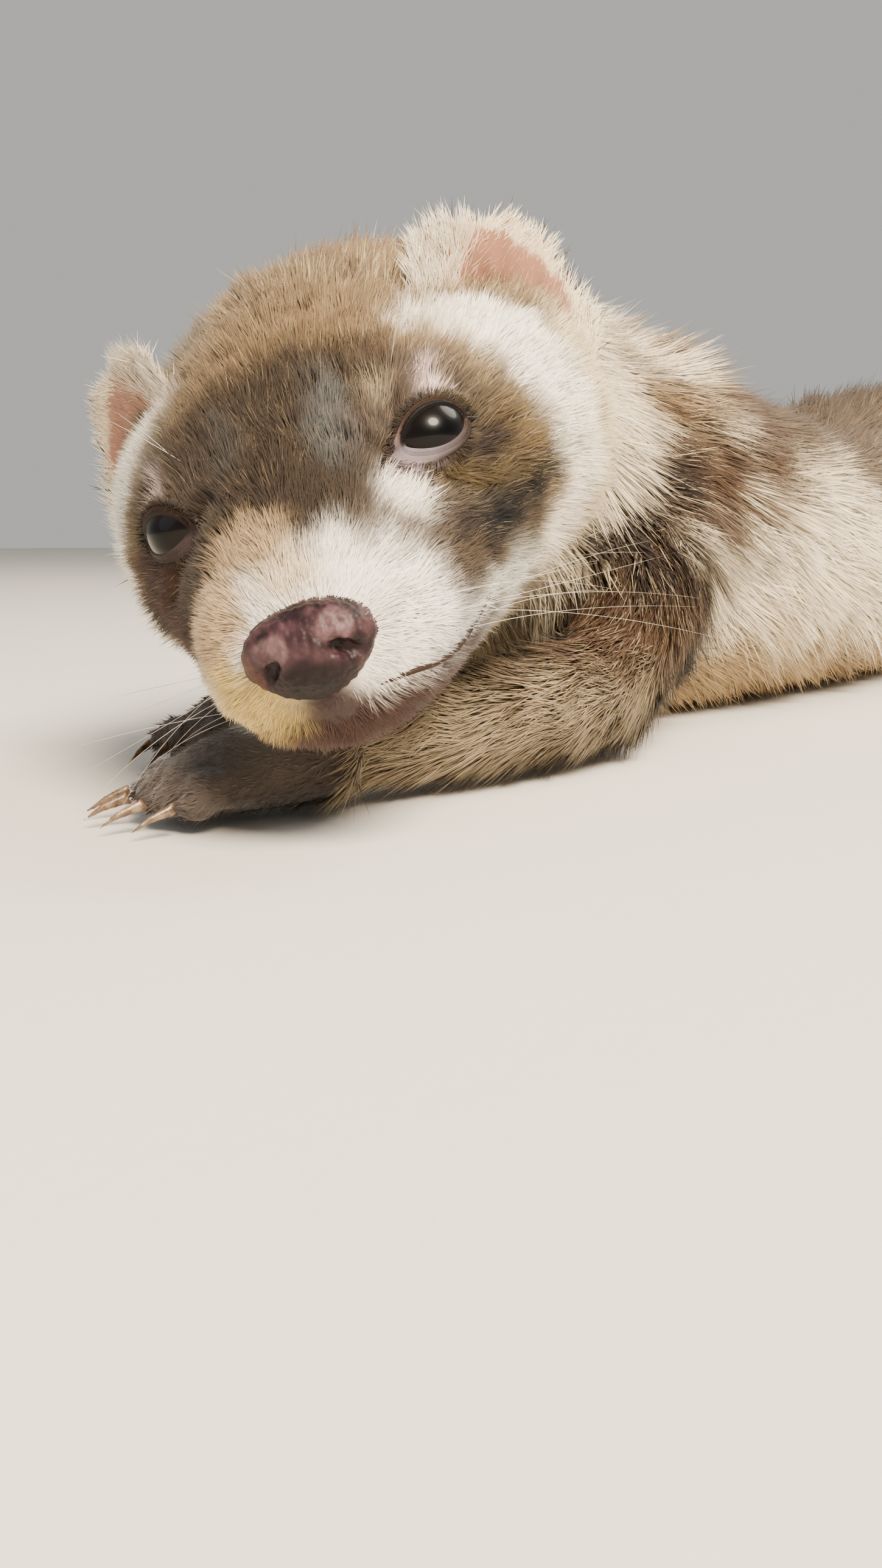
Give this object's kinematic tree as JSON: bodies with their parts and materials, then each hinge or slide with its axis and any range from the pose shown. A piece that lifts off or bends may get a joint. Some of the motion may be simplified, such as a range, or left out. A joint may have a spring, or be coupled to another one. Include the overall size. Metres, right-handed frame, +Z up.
{
  "type": "ferret",
  "caption": "Life-size domestic ferret lying flat on its belly, head turned to its left with the chin over one foreleg, ears, eyes, nose and claws as separate nodes.",
  "frame": {"origin": "middle of the footprint, on the floor under the belly", "axes": "+X towards the head, +Y to the ferret's left, +Z up"},
  "size_m": [0.4658, 0.1206, 0.0701],
  "materials": {
    "coat": "dense fur, sable over a cream undercoat",
    "leg_coat": "short dark fur",
    "ears": "thin pink skin under short cream fur",
    "nose": "moist grained skin, mottled pink and brown",
    "eyes": "wet, near black",
    "claws": "pale translucent horn"
  },
  "bodies": {
    "root": {"abdomen": "coat", "chest": "coat", "ear_left": "ears", "ear_right": "ears", "eye_left": "eyes", "eye_right": "eyes", "foreleg_left": "leg_coat", "foreleg_right": "leg_coat", "forepaw_left": "leg_coat", "forepaw_left_claw_1": "claws", "forepaw_left_claw_2": "claws", "forepaw_left_claw_3": "claws", "forepaw_left_claw_4": "claws", "forepaw_left_claw_5": "claws", "forepaw_right": "leg_coat", "forepaw_right_claw_1": "claws", "forepaw_right_claw_2": "claws", "forepaw_right_claw_3": "claws", "forepaw_right_claw_4": "claws", "forepaw_right_claw_5": "claws", "head": "coat", "hindleg_left": "coat", "hindleg_right": "coat", "hindpaw_left": "leg_coat", "hindpaw_left_claw_1": "claws", "hindpaw_left_claw_2": "claws", "hindpaw_left_claw_3": "claws", "hindpaw_left_claw_4": "claws", "hindpaw_left_claw_5": "claws", "hindpaw_right": "leg_coat", "hindpaw_right_claw_1": "claws", "hindpaw_right_claw_2": "claws", "hindpaw_right_claw_3": "claws", "hindpaw_right_claw_4": "claws", "hindpaw_right_claw_5": "claws", "hips": "coat", "neck": "coat", "nose": "nose", "tail": "coat"}
  },
  "joints": []
}
